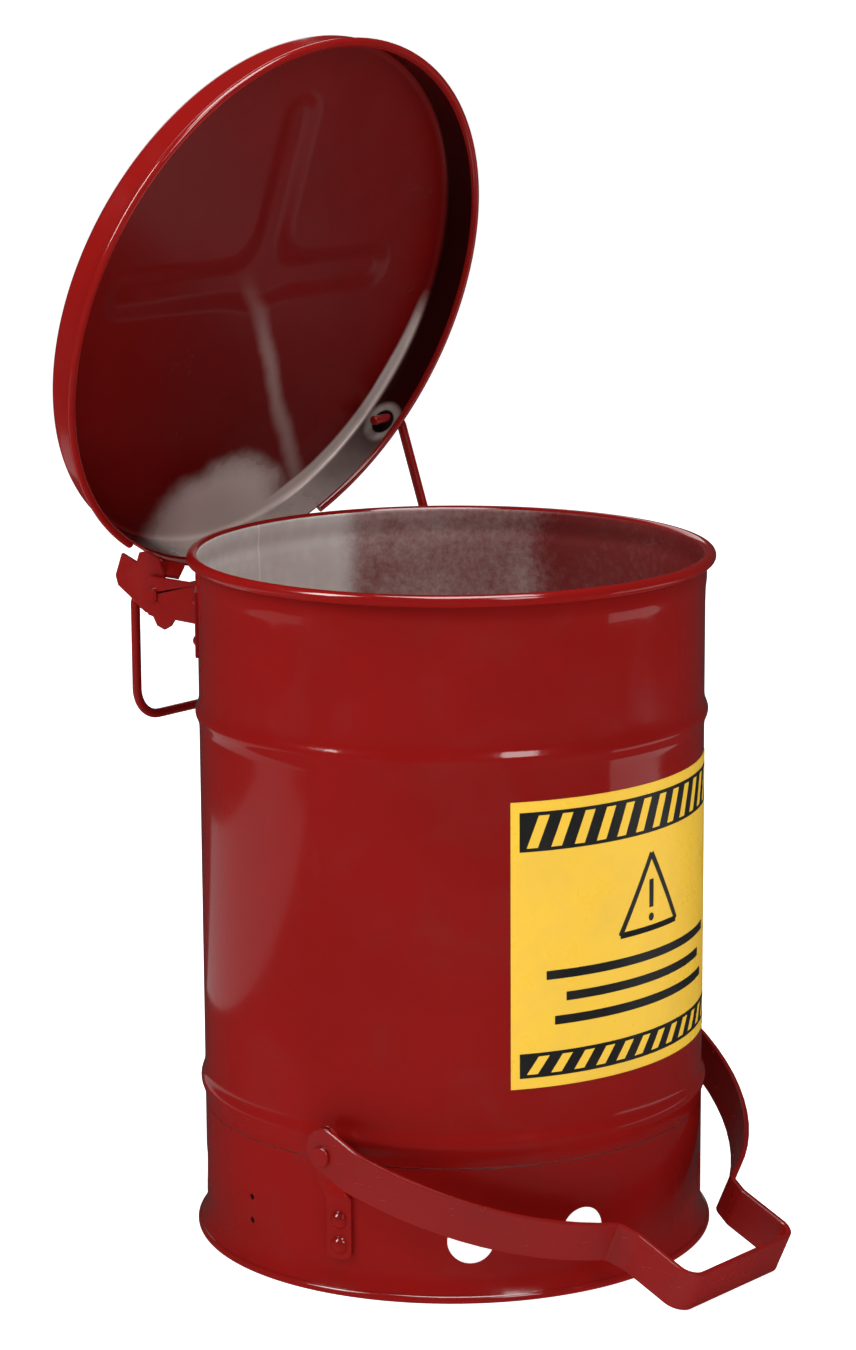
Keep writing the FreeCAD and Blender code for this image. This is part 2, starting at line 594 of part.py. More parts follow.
# ---------------------------------------------------------------- pedal strap
def strap_corners():
    """Centre line seen from above with the pedal level, near pivot to far tail, with its bends."""
    arm = [("strap_side", "knee_ahead", "knee_bend"),
           ("shoulder_half", "shoulder_ahead", "shoulder_bend"),
           ("fold_half", "fold_ahead", "fold_bend"),
           ("foot_half", "foot_root", "root_bend"),
           ("foot_half", "foot_reach", "foot_bend")]
    front = size("pivot_front")
    half = [(size(x), size(ahead), size(bend)) for x, ahead, bend in arm]
    points = [Vector(-size("strap_side"), -front, 0)]
    points += [Vector(-x, -front - ahead, 0) for x, ahead, bend in half]
    points += [Vector(x, -front - ahead, 0) for x, ahead, bend in reversed(half)]
    points.append(Vector(size("strap_side"), size("rod_foot_arm") - front, 0))
    bends = [bend for x, ahead, bend in half]
    return points, bends + bends[::-1]


def shifted_line(points, bends, shift):
    """The same bent line moved sideways by 'shift', to the left of its direction."""
    lefts = []
    for start, end in zip(points, points[1:]):
        along = (end - start).normalize()
        lefts.append(Vector(-along.y, along.x, 0))
    moved = [points[0] + lefts[0] * shift]
    radii = []
    for corner, before, after, bend in zip(points[1:-1], lefts, lefts[1:], bends):
        mitre = (before + after) * (1 / (1 + before.dot(after)))
        moved.append(corner + mitre * shift)
        turns_left = before.cross(after).z > 0
        radii.append(bend - shift if turns_left else bend + shift)
    moved.append(points[-1] + lefts[-1] * shift)
    return wire_path(moved, radii), moved[0], moved[-1]


def make_strap():
    front = size("pivot_front")
    half_thick = size("strap_thick") / 2
    width = size("strap_width")
    middle = size("pivot_height") + size("strap_lift")
    points, bends = strap_corners()
    left, left_start, left_end = shifted_line(points, bends, half_thick)
    right, right_start, right_end = shifted_line(points, bends, -half_thick)
    closing = [Part.makeLine(left_start, right_start), Part.makeLine(left_end, right_end)]
    face = Part.Face(Part.Wire(Part.__sortEdges__(left.Edges + right.Edges + closing)))
    face.translate(Vector(0, 0, middle - width / 2))
    band = face.extrude(Vector(0, 0, width))
    ends = []
    for end in (points[0], points[-1]):
        disc = Part.makeCylinder(width / 2, 2 * half_thick, Vector(0, 0, 0), X_AXIS)
        disc.translate(Vector(end.x - half_thick, end.y, middle))
        ends.append(disc)
    pivot = Part.makeCylinder(size("pivot_radius") + size("rod_fit"), 400,
                              Vector(-200, -front, size("pivot_height")), X_AXIS)
    strap = band.multiFuse(ends).cut(pivot).cut(slot_cutter()).removeSplitter()
    set_shape("pedal_strap", "pedal_strap", strap, PEDAL_DOWN)


def slot_cutter():
    """Slotted hole in the far arm for the lower end of the lift rod."""
    radius = size("slot_radius")
    rest = Vector(140, size("rod_foot_arm") - size("pivot_front"),
                  size("pivot_height") + size("rod_foot_rise"))
    tail = rest + Vector(0, size("slot_tail_along"), size("slot_tail_up"))
    head = rest + Vector(0, size("slot_head_along"), size("slot_head_up"))
    along = (head - tail).normalize()
    across = Vector(0, -along.z, along.y) * radius
    outline = [tail + across, head + across, head - across, tail - across, tail + across]
    bar = Part.Face(Part.makePolygon(outline)).extrude(Vector(30, 0, 0))
    round_ends = [Part.makeCylinder(radius, 30, centre, X_AXIS) for centre in (tail, head)]
    return bar.multiFuse(round_ends)


# ---------------------------------------------------------------- lift rod
def make_lift_rod():
    lid_end = LID_OPEN.multVec(Vector(0, size("rod_lid_back"), size("rod_lid_height")))
    foot_end = PEDAL_DOWN.multVec(Vector(0, -size("pivot_front") + size("rod_foot_arm"),
                                         size("pivot_height") + size("rod_foot_rise")))
    points = [Vector(size("rod_lid_tip"), lid_end.y, lid_end.z),
              Vector(size("rod_lid_out"), lid_end.y, lid_end.z),
              Vector(size("rod_foot_out"), foot_end.y, foot_end.z),
              Vector(size("rod_foot_tip"), foot_end.y, foot_end.z)]
    bends = [size("rod_bend"), size("rod_foot_bend")]
    set_shape("lift_rod", "lift_rod", bent_wire(points, bends, size("rod_wire")))


make_body_shell()
make_base_skirt()
make_bottom_pan()
make_label()
make_hinge_carrier()
make_hinge_rod()
make_saddle_rivets()
make_lid()
make_lid_hinge()
make_band_rivets()
make_handle()
make_brackets()
make_strap()
make_lift_rod()

doc.recompute()
for obj in doc.Objects:
    if "Invalid" in obj.State or "Error" in obj.State:
        raise RuntimeError("%s failed: %s" % (obj.Name, obj.State))
os.makedirs("parts", exist_ok=True)
for obj in parts:
    if obj.Shape.isNull() or not obj.Shape.isValid():
        raise RuntimeError("%s has no valid solid" % obj.Label)
    box = obj.Shape.BoundBox
    print("%-22s solids %d  volume %10.1f  x %.1f %.1f  y %.1f %.1f  z %.1f %.1f" % (
        obj.Label, len(obj.Shape.Solids), obj.Shape.Volume, box.XMin, box.XMax, box.YMin, box.YMax,
        box.ZMin, box.ZMax))
for obj in parts:
    obj.Shape.exportStep("parts/%s.step" % obj.Label)
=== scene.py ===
# The looks of a foot-operated oily-waste can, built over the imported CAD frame. Metres.
import math

import bmesh
import bpy
from mathutils import Matrix, Vector


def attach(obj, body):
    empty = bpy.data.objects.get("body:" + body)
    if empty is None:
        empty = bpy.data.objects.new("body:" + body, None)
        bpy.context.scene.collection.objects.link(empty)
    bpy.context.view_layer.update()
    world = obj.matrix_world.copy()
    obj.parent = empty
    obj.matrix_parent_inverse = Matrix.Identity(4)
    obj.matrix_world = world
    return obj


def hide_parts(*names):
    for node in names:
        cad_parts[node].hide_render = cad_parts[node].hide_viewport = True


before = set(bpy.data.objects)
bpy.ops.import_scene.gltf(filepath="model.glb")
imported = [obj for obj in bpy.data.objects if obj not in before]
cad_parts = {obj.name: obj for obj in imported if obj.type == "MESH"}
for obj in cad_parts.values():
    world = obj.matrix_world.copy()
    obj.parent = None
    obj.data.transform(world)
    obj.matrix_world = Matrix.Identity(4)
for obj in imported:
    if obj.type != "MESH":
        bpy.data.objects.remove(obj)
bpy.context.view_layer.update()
MM = 0.001
TAU = 2 * math.pi

# ------------------------------------------------------------------ sizes shared with the CAD (mm)
WALL = 144.8
SHEET = 1.0
HINGE = Vector((0, 168.0, 362.0))
PIVOT = Vector((0, -38.0, 84.0))
LID_OPEN_DEG = 70.8
PEDAL_DEG = 23.9
ROD_AT_LID = Vector((0, 90.5, 386.5))            # lid shut
ROD_AT_PEDAL = Vector((0, 80.8, 81.4))           # pedal level
STRAP_SIDE = 155.0


def turned(centre, degrees):
    """Turn about the X direction through a centre given in mm."""
    shift = Matrix.Translation(centre)
    return shift @ Matrix.Rotation(math.radians(degrees), 4, "X") @ shift.inverted()


LID_OPEN = turned(HINGE, -LID_OPEN_DEG)
PEDAL_DOWN = turned(PIVOT, PEDAL_DEG)


AIM_BODY = (0, 0, 0.25)                          # metres, where the lamps point


# ------------------------------------------------------------------ node helpers
class Nodes:
    """Small wrapper that keeps material code short."""

    def __init__(self, name):
        self.material = bpy.data.materials.new(name)
        self.material.use_nodes = True
        self.tree = self.material.node_tree
        self.tree.nodes.clear()
        self.out = self.tree.nodes.new("ShaderNodeOutputMaterial")
        self.shader = self.tree.nodes.new("ShaderNodeBsdfPrincipled")
        self.link(self.shader.outputs[0], self.out.inputs[0])
        self.coords = self.tree.nodes.new("ShaderNodeTexCoord").outputs["Object"]

    def link(self, source, target):
        self.tree.links.new(source, target)

    def feed(self, value, socket):
        if isinstance(value, bpy.types.NodeSocket):
            self.link(value, socket)
        elif isinstance(value, (tuple, list)):
            socket.default_value = tuple(value) + (1.0,) * (len(socket.default_value) - len(value))
        else:
            socket.default_value = value

    def noise(self, scale, detail=3.0, rough=0.5, coords=None, distort=0.0):
        node = self.tree.nodes.new("ShaderNodeTexNoise")
        self.link(coords or self.coords, node.inputs["Vector"])
        node.inputs["Scale"].default_value = scale
        node.inputs["Detail"].default_value = detail
        node.inputs["Roughness"].default_value = rough
        node.inputs["Distortion"].default_value = distort
        return node.outputs[0]

    def voronoi(self, scale, feature="F1", coords=None):
        node = self.tree.nodes.new("ShaderNodeTexVoronoi")
        node.feature = feature
        self.link(coords or self.coords, node.inputs["Vector"])
        node.inputs["Scale"].default_value = scale
        return node.outputs["Distance"]

    def stretch(self, x, y, z):
        node = self.tree.nodes.new("ShaderNodeMapping")
        self.link(self.coords, node.inputs["Vector"])
        node.inputs["Scale"].default_value = (x, y, z)
        return node.outputs[0]

    def xyz(self):
        node = self.tree.nodes.new("ShaderNodeSeparateXYZ")
        self.link(self.coords, node.inputs[0])
        return node.outputs

    def math(self, kind, a, b=0.0, c=0.0):
        node = self.tree.nodes.new("ShaderNodeMath")
        node.operation = kind
        for value, socket in zip((a, b, c), node.inputs):
            self.feed(value, socket)
        return node.outputs[0]

    def ramp(self, value, low, high, to_low=0.0, to_high=1.0):
        """Smooth step between two levels."""
        node = self.tree.nodes.new("ShaderNodeMapRange")
        node.interpolation_type = "SMOOTHSTEP"
        self.feed(value, node.inputs[0])
        for index, level in enumerate((low, high, to_low, to_high), start=1):
            node.inputs[index].default_value = level
        return node.outputs[0]

    def mix(self, factor, a, b):
        node = self.tree.nodes.new("ShaderNodeMix")
        node.data_type = "RGBA"
        self.feed(factor, node.inputs[0])
        self.feed(a, node.inputs[6])
        self.feed(b, node.inputs[7])
        return node.outputs[2]

    def blend(self, factor, a, b):
        node = self.tree.nodes.new("ShaderNodeMix")
        node.data_type = "FLOAT"
        self.feed(factor, node.inputs[0])
        self.feed(a, node.inputs[2])
        self.feed(b, node.inputs[3])
        return node.outputs[0]

    def bump(self, height, distance, strength=1.0, below=None):
        node = self.tree.nodes.new("ShaderNodeBump")
        self.feed(height, node.inputs["Height"])
        node.inputs["Distance"].default_value = distance
        node.inputs["Strength"].default_value = strength
        if below is not None:
            self.link(below, node.inputs["Normal"])
        return node.outputs[0]

    def surface(self, **sockets):
        for name, value in sockets.items():
            self.feed(value, self.shader.inputs[name.replace("_", " ")])
        return self.material


RED = (0.202, 0.0048, 0.0040)
RED_DEEP = (0.178, 0.0044, 0.0036)
RED_DARK = (0.110, 0.0032, 0.0028)


def enamel_colour(n, light=RED, deep=RED_DEEP):
    """Enamel with faint cloudy variation and thin patches."""
    cloud = n.ramp(n.noise(7.0, 4.0, 0.55), 0.35, 0.7)
    fine = n.ramp(n.noise(160.0, 2.0), 0.3, 0.8, 0.0, 0.25)
    return n.mix(fine, n.mix(cloud, light, deep), deep)


def enamel_bump(n, peel=0.00006, wave=0.0006):
    """Orange peel of sprayed enamel over slightly uneven sheet."""
    sheet = n.bump(n.noise(9.0, 2.0, 0.4, n.stretch(1, 1, 0.45)), wave, 0.55)
    return n.bump(n.noise(420.0, 2.0, 0.5), peel, 0.5, sheet)


def make_enamel(name, light=RED, deep=RED_DEEP, rough=(0.10, 0.20), peel=0.00006, wave=0.0006):
    n = Nodes(name)
    smudge = n.ramp(n.noise(26.0, 5.0, 0.62, distort=0.6), 0.42, 0.78, rough[0], rough[1])
    dust = n.ramp(n.voronoi(900.0), 0.0, 0.035, 0.12, 0.0)
    return n.surface(Base_Color=enamel_colour(n, light, deep),
                     Roughness=n.math("ADD", smudge, dust),
                     IOR=1.5, Coat_Weight=0.35, Coat_Roughness=0.06,
                     Normal=enamel_bump(n, peel, wave))


def make_scuffed(name):
    """Enamel on the strap: rougher, with stretched scratches and noisy patches of grime."""
    n = Nodes(name)
    scratch = n.ramp(n.noise(70.0, 5.0, 0.7, n.stretch(1.0, 1.0, 6.0)), 0.62, 0.76)
    grime = n.ramp(n.noise(18.0, 4.0, 0.6), 0.45, 0.75, 0.0, 0.35)
    colour = n.mix(grime, enamel_colour(n, RED, RED_DEEP), RED_DARK)
    rough = n.math("ADD", n.ramp(scratch, 0.0, 1.0, 0.24, 0.42), n.math("MULTIPLY", grime, 0.2))
    return n.surface(Base_Color=colour, Roughness=rough, IOR=1.5, Coat_Weight=0.15,
                     Coat_Roughness=0.2, Normal=enamel_bump(n, 0.0001, 0.0002))


def make_interior(name):
    """Galvanised inside of the wall with red overspray that thickens towards one side."""
    n = Nodes(name)
    x, y, z = n.xyz()
    bearing = n.math("ARCTAN2", x, n.math("MULTIPLY", y, -1.0))
    turn = n.math("ABSOLUTE", bearing)
    plus = n.math("GREATER_THAN", x, -0.006)
    spread = n.math("MULTIPLY", n.ramp(turn, 2.86, 2.64), plus)
    front = n.ramp(turn, 2.45, 1.75)
    thick = n.math("MAXIMUM", n.math("MULTIPLY", spread, 0.80), front)
    # the pan at the bottom has an even, light mist
    thick = n.blend(n.ramp(z, 0.086, 0.125), 0.52, thick)
    mist = n.noise(240.0, 6.0, 0.75)
    patch = n.noise(22.0, 4.0, 0.6)
    cover = n.math("ADD", thick, n.math("MULTIPLY", n.math("SUBTRACT", patch, 0.5), 0.26))
    grain = n.math("ADD", cover, n.math("MULTIPLY", n.math("SUBTRACT", mist, 0.5), 0.40))
    mask = n.ramp(grain, 0.26, 1.02)
    spangle = n.ramp(n.voronoi(120.0), 0.1, 0.7, 0.0, 0.35)
    zinc = n.mix(spangle, (0.82, 0.76, 0.72), (0.66, 0.60, 0.56))
    streak = n.ramp(n.noise(30.0, 4.0, 0.6, n.stretch(1, 1, 0.12)), 0.4, 0.75, 0.0, 0.4)
    zinc = n.mix(streak, zinc, (0.60, 0.48, 0.44))
    colour = n.mix(mask, zinc, (0.155, 0.0075, 0.0075))
    seam = n.math("COMPARE", x, -0.0063, 0.0007)
    behind = n.math("GREATER_THAN", y, 0.0)
    seen = n.math("MULTIPLY", n.math("MULTIPLY", seam, behind), 0.8)
    colour = n.mix(seen, colour, (0.95, 0.90, 0.86))
    dents = n.bump(n.noise(34.0, 2.0, 0.4), 0.0012, 0.5)
    fold = n.bump(seam, 0.0006, 1.0, dents)
    return n.surface(Base_Color=colour, Metallic=n.ramp(mask, 0.0, 1.0, 0.35, 0.0),
                     Roughness=n.ramp(mist, 0.3, 0.7, 0.34, 0.50),
                     Normal=n.bump(mist, 0.0002, 0.5, fold))


def make_lid_inside(name):
    """Lid inside: enamel in a darker red as painted shade, a grey patch by the hinge, a painted highlight
    along the corner and a thin painted reflection streak.
    """
    n = Nodes(name)
    back = LID_OPEN.inverted()
    rows = [[back[i][j] for j in range(3)] + [back[i][3] * MM] for i in range(3)]
    x, y, z = n.xyz()
    across = x
    toward = n.math("MULTIPLY_ADD", y, rows[1][1],
                    n.math("MULTIPLY_ADD", z, rows[1][2], rows[1][3]))
    height = n.math("MULTIPLY_ADD", y, rows[2][1],
                    n.math("MULTIPLY_ADD", z, rows[2][2], rows[2][3]))
    patch = n.math("SUBTRACT", n.noise(16.0, 4.0, 0.6), 0.5)
    mist = n.math("SUBTRACT", n.noise(260.0, 5.0, 0.75), 0.5)
    reach = n.math("SQRT", n.math("ADD", n.math("MULTIPLY", x, x),
                                  n.math("MULTIPLY", toward, toward)))
    # grey lobe by the hinge
    wide = n.math("POWER", n.math("DIVIDE", n.math("SUBTRACT", across, 0.014), 0.072), 2.0)
    deep = n.math("POWER", n.math("DIVIDE", n.math("SUBTRACT", toward, 0.160), 0.056), 2.0)
    lobe = n.math("SUBTRACT", 1.0, n.math("SQRT", n.math("ADD", wide, deep)))
    # painted highlight: a grey band in the corner, from the hinge round to the rod's side
    swing = n.math("ARCTAN2", across, toward)
    along = n.math("MULTIPLY", n.ramp(swing, -0.35, 0.15), n.ramp(swing, 1.75, 1.0))
    corner = n.math("MULTIPLY", n.ramp(reach, 0.146, 0.157), along)
    # painted reflection: faint grey streak from the middle of the ribs towards the rod
    wander = n.math("MULTIPLY", patch, 0.016)
    line = n.math("ABSOLUTE", n.math("SUBTRACT", n.math("ADD", across, wander),
                                     n.math("MULTIPLY_ADD", toward, 0.62, -0.002)))
    streak = n.math("MULTIPLY", n.ramp(line, 0.011, 0.0), n.ramp(toward, -0.02, 0.05, 0.0, 0.20))
    rough_edge = n.math("ADD", n.math("MULTIPLY", patch, 0.45), n.math("MULTIPLY", mist, 0.05))
    # the grey lobe and the painted corner highlight share one mask, which also sets metallic and roughness
    grey_patch_and_highlight = n.math("MAXIMUM", lobe, n.math("SUBTRACT", corner, 0.25))
    grey_patch_and_highlight = n.ramp(n.math("ADD", grey_patch_and_highlight, rough_edge), -0.02, 0.40)
    flange = n.ramp(reach, 0.1585, 0.1600)
    thin = n.math("MULTIPLY", n.ramp(swing, 1.05, 0.25, 0.0, 0.5),
                  n.math("ADD", 1.0, n.math("MULTIPLY", patch, 2.0)))
    grey_patch_and_highlight = n.math("MULTIPLY", grey_patch_and_highlight, n.blend(flange, 1.0, thin))
    grey_patch_and_highlight = n.math("MULTIPLY", grey_patch_and_highlight, n.ramp(swing, -0.42, -0.02, 0.25, 1.0))
    mask = n.math("MAXIMUM", grey_patch_and_highlight, streak)
    # painted shade: the inside enamel is given a darker red than the outside
    red = enamel_colour(n, (0.125, 0.0032, 0.0028), (0.100, 0.0028, 0.0024))
    # painted shade: the inner face of the flange is drawn near black
    red = n.mix(flange, red, (0.018, 0.0012, 0.0012))
    # painted highlight: grey ring round the hole the lift rod passes through
    off_y, off_z = n.math("SUBTRACT", toward, 0.0925), n.math("SUBTRACT", height, 0.3868)
    from_rod = n.math("SQRT", n.math("ADD", n.math("MULTIPLY", off_y, off_y),
                                     n.math("MULTIPLY", off_z, off_z)))
    sided = n.ramp(across, 0.110, 0.115)
    hole = n.math("MULTIPLY", n.ramp(from_rod, 0.0072, 0.0060), sided)
    halo = n.math("MULTIPLY", n.ramp(from_rod, 0.0125, 0.0085), sided)
    colour = n.mix(mask, red, (0.66, 0.54, 0.50))
    wear_and_highlight = n.math("MULTIPLY", halo, n.math("MULTIPLY_ADD", patch, 2.2, 0.30))
    colour = n.mix(wear_and_highlight, colour, (0.60, 0.50, 0.46))
    # painted shade: dark disc where the rod's hole is
    colour = n.mix(hole, colour, (0.006, 0.003, 0.003))
    return n.surface(Base_Color=colour, Metallic=n.math("MULTIPLY", grey_patch_and_highlight, 0.3),
                     Roughness=n.blend(grey_patch_and_highlight, n.ramp(n.noise(26.0, 5.0, 0.6), 0.4, 0.8, 0.20, 0.30), 0.36),
                     IOR=1.45, Specular_IOR_Level=0.22, Normal=enamel_bump(n, 0.00006, 0.0008))


def make_film(name, colour, wear_and_highlight):
    n = Nodes(name)
    fade = n.ramp(n.noise(30.0, 4.0, 0.6), 0.4, 0.8, 0.0, 0.5)
    speck = n.ramp(n.noise(700.0, 2.0), 0.6, 0.75, 0.0, 0.3)
    tone = n.mix(speck, n.mix(fade, colour, wear_and_highlight), wear_and_highlight)
    return n.surface(Base_Color=tone, Roughness=n.ramp(n.noise(60.0, 3.0), 0.3, 0.7, 0.26, 0.38),
                     IOR=1.46, Normal=n.bump(n.noise(300.0, 2.0), 0.00004, 0.5))


def make_zinc(name):
    n = Nodes(name)
    tarnish = n.ramp(n.noise(180.0, 4.0, 0.6), 0.35, 0.75)
    return n.surface(Base_Color=n.mix(tarnish, (0.50, 0.47, 0.43), (0.24, 0.10, 0.09)), Metallic=0.8,
                     Roughness=n.ramp(tarnish, 0.0, 1.0, 0.28, 0.5),
                     Normal=n.bump(n.noise(800.0, 2.0), 0.00005, 0.5))


def make_floor(name):
    """Pale floor that glows a little, like a light table, with painted shade under the back of the can."""
    n = Nodes(name)
    x, y, z = n.xyz()
    tone = n.mix(n.ramp(n.noise(3.0, 3.0), 0.3, 0.7), (0.88, 0.88, 0.88), (0.90, 0.90, 0.90))
    reach = n.math("SQRT", n.math("ADD", n.math("MULTIPLY", x, x), n.math("MULTIPLY", y, y)))
    under = n.math("LESS_THAN", reach, 0.146)
    # painted shade: the floor under the back half of the can is dark and does not glow
    shade = n.math("MULTIPLY", under, n.math("GREATER_THAN", y, 0.055))
    glow = n.math("MULTIPLY_ADD", shade, -0.88, 0.88)
    return n.surface(Base_Color=n.mix(shade, tone, (0.02, 0.015, 0.015)), Roughness=0.9,
                     Specular_IOR_Level=0.1, Emission_Color=(1.0, 1.0, 1.0), Emission_Strength=glow)


ENAMEL = make_enamel("red_enamel")
ENAMEL_SMALL = make_enamel("red_enamel_fittings", RED, RED_DEEP, (0.14, 0.26), 0.0001, 0.0001)
SCUFFED = make_scuffed("red_enamel_strap")
INTERIOR = make_interior("galvanised_overspray")
LID_INSIDE = make_lid_inside("lid_inside")
YELLOW = make_film("label_yellow", (0.78, 0.475, 0.028), (0.68, 0.41, 0.035))
INK = make_film("label_ink", (0.010, 0.010, 0.010), (0.022, 0.020, 0.018))
ZINC = make_zinc("zinc_steel")


# ------------------------------------------------------------------ mesh helpers (all in mm)
def add_piece(name, verts, faces, material, body, matrix=None, sharp=38.0, slots=None):
    mesh = bpy.data.meshes.new(name)
    points = [(matrix @ Vector(v)) if matrix else Vector(v) for v in verts]
    mesh.from_pydata([tuple(p * MM) for p in points], [], faces)
    mesh.validate()
    piece = bpy.data.objects.new(name, mesh)
    bpy.context.collection.objects.link(piece)
    for item in (material if isinstance(material, (list, tuple)) else [material]):
        mesh.materials.append(item)
    if slots:
        for polygon, index in zip(mesh.polygons, slots):
            polygon.material_index = index
    tool = bmesh.new()
    tool.from_mesh(mesh)
    bmesh.ops.recalc_face_normals(tool, faces=tool.faces)
    tool.to_mesh(mesh)
    tool.free()
    for polygon in mesh.polygons:
        polygon.use_smooth = True
    mesh.set_sharp_from_angle(angle=math.radians(sharp))
    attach(piece, body)
    return piece


def lathe(profile, steps, start=0.0, sweep=TAU, closed=True):
    """Vertices and faces of a profile [(r, z)] turned about the Z axis."""
    full = abs(sweep - TAU) < 1e-6
    columns = steps if full else steps + 1
    verts = []
    for column in range(columns):
        angle = start + sweep * column / steps
        for r, z in profile:
            verts.append((r * math.sin(angle), -r * math.cos(angle), z))
    faces = []
    count = len(profile)
    links = count if closed else count - 1
    for column in range(steps):
        this = column * count
        after = ((column + 1) % columns) * count
        for row in range(links):
            up = (row + 1) % count
            faces.append((this + row, after + row, after + up, this + up))
    if closed and not full:
        faces.append(tuple(range(count)))
        faces.append(tuple((columns - 1) * count + i for i in reversed(range(count))))
    return verts, faces


def arc(cr, cz, radius, first, last, steps):
    turns = [math.radians(first + (last - first) * i / steps) for i in range(steps + 1)]
    return [(cr + radius * math.cos(t), cz + radius * math.sin(t)) for t in turns]


def bent_path(points, bends, fine=10):
    """Points along straight runs joined by tangent arcs."""
    path = [Vector(points[0])]
    for before, corner, after, bend in zip(points, points[1:], points[2:], bends):
        corner = Vector(corner)
        inward = (Vector(before) - corner).normalized()
        onward = (Vector(after) - corner).normalized()
        half = inward.angle(onward) / 2
        reach = bend / math.tan(half)
        start, end = corner + inward * reach, corner + onward * reach
        centre = corner + (inward + onward).normalized() * (bend / math.sin(half))
        a, b = start - centre, end - centre
        spread = a.angle(b)
        steps = max(2, int(fine * spread / 1.0) + 2)
        for index in range(steps + 1):
            t = index / steps
            blend = a * math.sin((1 - t) * spread) + b * math.sin(t * spread)
            path.append(centre + blend / math.sin(spread))
    path.append(Vector(points[-1]))
    return path


def densify(path, spacing):
    dense = [path[0]]
    for start, end in zip(path, path[1:]):
        pieces = max(1, int((end - start).length / spacing))
        dense += [start.lerp(end, i / pieces) for i in range(1, pieces + 1)]
    return dense


def round_sweep(name, path, radius, sides, material, body, matrix=None):
    """Round wire with domed ends."""
    rings = []
    normal = None
    for index, point in enumerate(path):
        before = path[max(index - 1, 0)]
        after = path[min(index + 1, len(path) - 1)]
        along = (after - before).normalized()
        if normal is None:
            normal = along.orthogonal().normalized()
        normal = (normal - along * normal.dot(along)).normalized()
        rings.append((point, along, normal, 1.0))
    first, last = rings[0], rings[-1]
    caps_a = [(first[0] - first[1] * radius * 0.45 * math.sin(t), first[1], first[2], math.cos(t))
              for t in (1.45, 1.1, 0.7, 0.35)]
    caps_b = [(last[0] + last[1] * radius * 0.45 * math.sin(t), last[1], last[2], math.cos(t))
              for t in (0.35, 0.7, 1.1, 1.45)]
    rings = caps_a + rings + caps_b
    verts, faces = [], []
    for point, along, normal, scale in rings:
        side = along.cross(normal)
        for k in range(sides):
            t = TAU * k / sides
            verts.append(point + (normal * math.cos(t) + side * math.sin(t)) * radius * scale)
    for ring in range(len(rings) - 1):
        for k in range(sides):
            n = (k + 1) % sides
            faces.append((ring * sides + k, ring * sides + n, (ring + 1) * sides + n, (ring + 1) * sides + k))
    faces.append(tuple(reversed(range(sides))))
    faces.append(tuple((len(rings) - 1) * sides + k for k in range(sides)))
    return add_piece(name, verts, faces, material, body, matrix, 50.0)


def apply_modifiers(piece):
    graph = bpy.context.evaluated_depsgraph_get()
    fresh = bpy.data.meshes.new_from_object(piece.evaluated_get(graph))
    piece.modifiers.clear()
    piece.data = fresh


def cut_with(piece, cutters):
    """Subtract solids from a piece, then drop them."""
    for cutter in cutters:
        modifier = piece.modifiers.new("cut", "BOOLEAN")
        modifier.object = cutter
        modifier.operation = "DIFFERENCE"
        modifier.solver = "EXACT"
    bpy.context.view_layer.update()
    apply_modifiers(piece)
    for cutter in cutters:
        bpy.data.objects.remove(cutter, do_unlink=True)


def cutter_tube(centre, along, radius, length, sides=48):
    tool = bmesh.new()
    bmesh.ops.create_cone(tool, cap_ends=True, segments=sides,
                          radius1=radius * MM, radius2=radius * MM,
                          depth=length * MM)
    mesh = bpy.data.meshes.new("cutter")
    rotation = Vector((0, 0, 1)).rotation_difference(Vector(along)).to_matrix().to_4x4()
    tool.transform(Matrix.Translation(Vector(centre) * MM) @ rotation)
    tool.to_mesh(mesh)
    tool.free()
    cutter = bpy.data.objects.new("cutter", mesh)
    bpy.context.collection.objects.link(cutter)
    return cutter


# ------------------------------------------------------------------ can wall
def bump_out(z, centre, rise, width):
    return rise * math.exp(-((z - centre) / width) ** 2)


def wall_radius(z):
    return (WALL + bump_out(z, 306.6, 2.2, 4.6) + bump_out(z, 89.5, 2.4, 5.6)
            + bump_out(z, 384.0, 0.9, 6.0))


def wall_heights():
    heights = [77.0]
    while heights[-1] < 392.0:
        z = heights[-1]
        busy = any(abs(z - c) < 14 for c in (306.6, 89.5, 384.0))
        heights.append(z + (1.0 if busy else 8.0))
    return heights[:-1] + [392.0]


def build_shell():
    heights = wall_heights()
    outer = [(wall_radius(z), z) for z in heights]
    rim = arc(147.4, 395.2, 3.4, -140, 180, 30)
    inner = [(wall_radius(z) - SHEET, z) for z in reversed(heights)]
    inner = [(min(r, 146.0), z) for r, z in inner]
    profile = outer + rim + inner
    steps = 288
    verts, faces = lathe(profile, steps)
    count = len(profile)
    first_inner = len(outer) + 27
    slots = []
    for column in range(steps):
        slots += [1 if first_inner <= row < count - 1 else 0 for row in range(count)]
    shell = add_piece("can_wall", verts, faces, [ENAMEL, INTERIOR], "can", slots=slots)
    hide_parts("body_shell")


# ------------------------------------------------------------------ vented skirt
VENTS = (-135.0, -45.9, -19.8, 31.0, 75.0, 120.0, 165.0)


def radial(bearing, radius, z):
    turn = math.radians(bearing)
    return Vector((radius * math.sin(turn), -radius * math.cos(turn), z))


